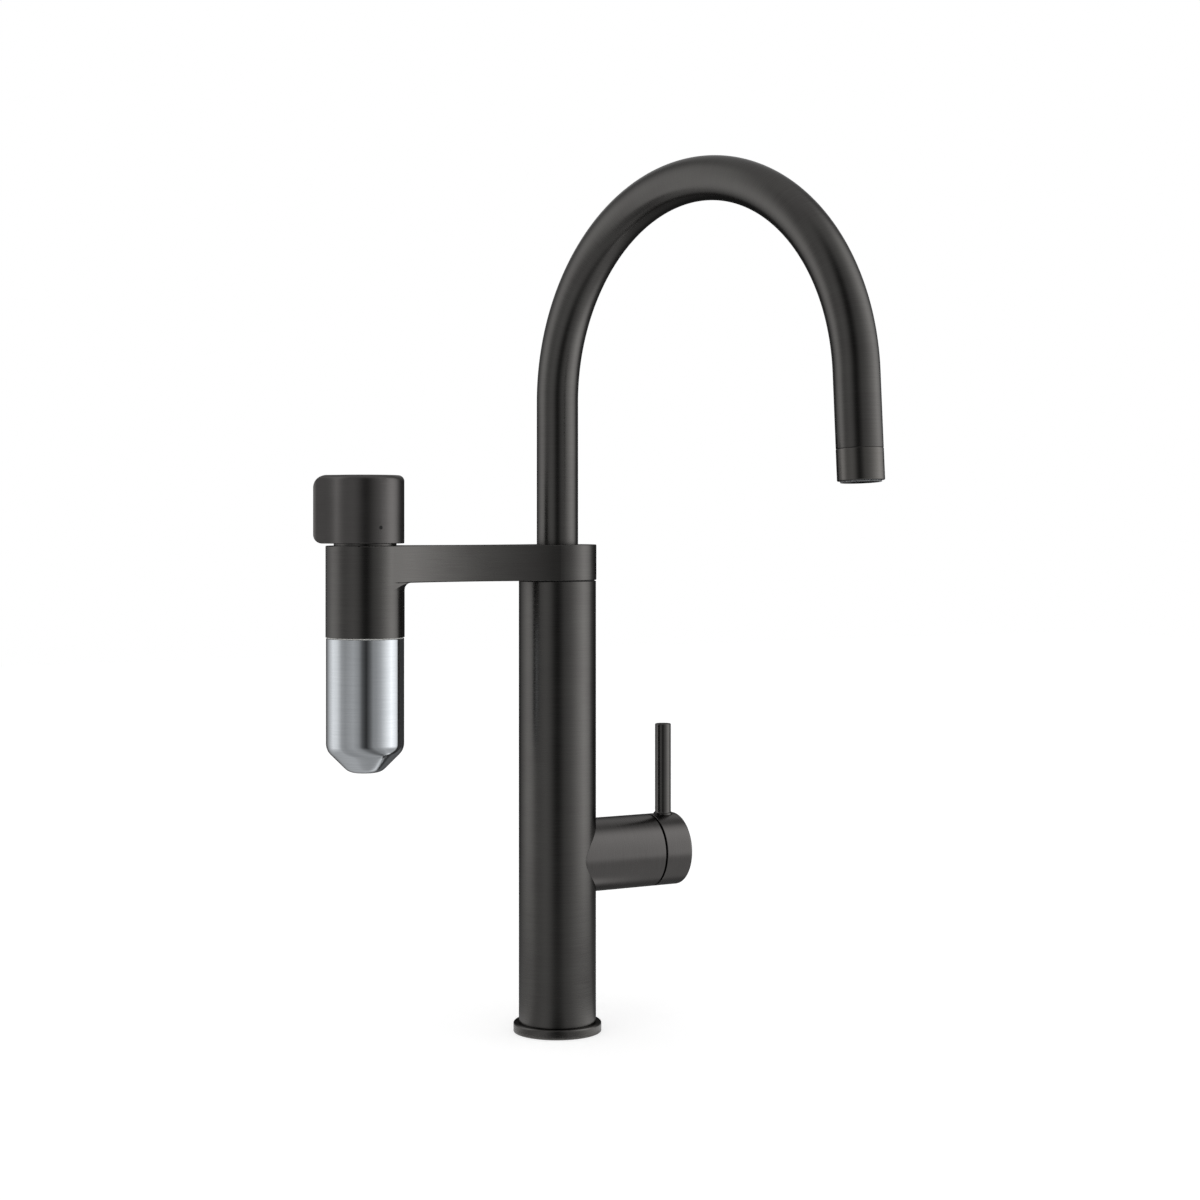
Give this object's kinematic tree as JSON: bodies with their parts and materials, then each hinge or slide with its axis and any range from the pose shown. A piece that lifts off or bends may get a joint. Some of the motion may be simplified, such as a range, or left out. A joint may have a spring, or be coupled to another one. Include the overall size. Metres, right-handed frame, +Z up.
{
  "type": "water filter kitchen tap",
  "caption": "Single-hole mixer tap with a swan-neck swivel spout, a side lever and a side arm that carries a screw-on filter cup under a quarter-turn knob.",
  "frame": {"origin": "centre of the base flange's underside, on the worktop", "axes": "+Z up along the column, +X along the mixer branch, -X along the filter arm, -Y to the user"},
  "size_m": [0.2044, 0.239, 0.4403],
  "materials": {
    "gunmetal": "brushed dark gunmetal",
    "steel": "brushed stainless",
    "brass": "machined",
    "stainless": "machined",
    "copper": "drawn",
    "rubber": "matt",
    "ceramic": "lapped ceramic",
    "black_plastic": "moulded",
    "grey_plastic": "moulded",
    "white_plastic": "moulded",
    "filter_fibre": "pressed fibre",
    "dot_black": "moulded"
  },
  "bodies": {
    "tap_body": {"base_flange": "gunmetal", "base_seal": "rubber", "foot_insert": "brass", "column_tube": "gunmetal", "hot_feed_pipe": "copper", "cold_feed_pipe": "copper", "mixed_riser": "copper", "filter_riser": "copper", "mixer_branch": "gunmetal", "valve_body": "brass", "cartridge_seal": "rubber", "cartridge_base": "grey_plastic", "fixed_disc": "ceramic", "cartridge_housing": "grey_plastic", "cartridge_nut": "brass", "cover_ring": "black_plastic", "column_head": "brass", "stop_screw": "stainless", "filter_arm": "gunmetal", "filter_socket": "white_plastic", "valve_seal": "rubber", "valve_fixed_disc": "ceramic", "valve_headwork": "brass", "knob_ring": "black_plastic"},
    "lever_yoke": {"cartridge_rotor": "grey_plastic", "rotor_pin": "stainless"},
    "lever": {"lever_stem": "stainless", "lever_cap": "gunmetal", "lever_rod": "gunmetal"},
    "mixing_disc": {"moving_disc": "ceramic"},
    "filter_control": {"filter_knob": "gunmetal", "knob_adaptor": "grey_plastic", "filter_spindle": "brass", "valve_moving_disc": "ceramic", "spindle_clip": "stainless", "position_dot": "dot_black"},
    "filter_load": {"filter_cage": "white_plastic", "filter_core": "filter_fibre", "filter_cap": "white_plastic", "filter_base": "white_plastic", "filter_neck_seals": "rubber", "slip_washer": "white_plastic"},
    "cup": {"filter_cup": "steel", "cup_seal": "rubber"},
    "spout": {"spout_tube": "gunmetal", "spout_spigot": "brass", "slide_rings": "white_plastic", "spout_o_rings": "rubber", "spout_nozzle": "gunmetal", "aerator_body": "black_plastic", "aerator_screen": "stainless", "drinking_tube": "white_plastic"}
  },
  "joints": [
    {"name": "lever_turn", "type": "hinge", "parent": "tap_body", "child": "lever_yoke", "pos_m": [0.0386, 0, 0.08965], "axis": [1, 0, 0], "range_deg": [-45, 45]},
    {"name": "lever_tilt", "type": "hinge", "parent": "lever_yoke", "child": "lever", "pos_m": [0.0386, 0, 0.08965], "axis": [0, 1, 0], "range_deg": [0, 25]},
    {"name": "disc_slide", "type": "slide", "parent": "lever_yoke", "child": "mixing_disc", "axis": [0, 0, 1], "range_m": [0, 0.0038]},
    {"name": "knob_turn", "type": "hinge", "parent": "tap_body", "child": "filter_control", "pos_m": [-0.108, 0, 0.27], "axis": [0, 0, 1], "range_deg": [0, 90]},
    {"name": "cup_lower", "type": "slide", "parent": "tap_body", "child": "filter_load", "axis": [0, 0, -1], "range_m": [0, 0.12]},
    {"name": "cup_unscrew", "type": "hinge", "parent": "filter_load", "child": "cup", "pos_m": [-0.108, 0, 0.18], "axis": [0, 0, 1], "range_deg": [0, 1080]},
    {"name": "spout_swivel", "type": "hinge", "parent": "tap_body", "child": "spout", "pos_m": [0, 0, 0.25], "axis": [0, 0, 1], "range_deg": [-87.08, 62.92]}
  ],
  "couplings": [
    {"joint": "disc_slide", "follows": "lever_tilt", "m_per_rad": 0.008524}
  ]
}
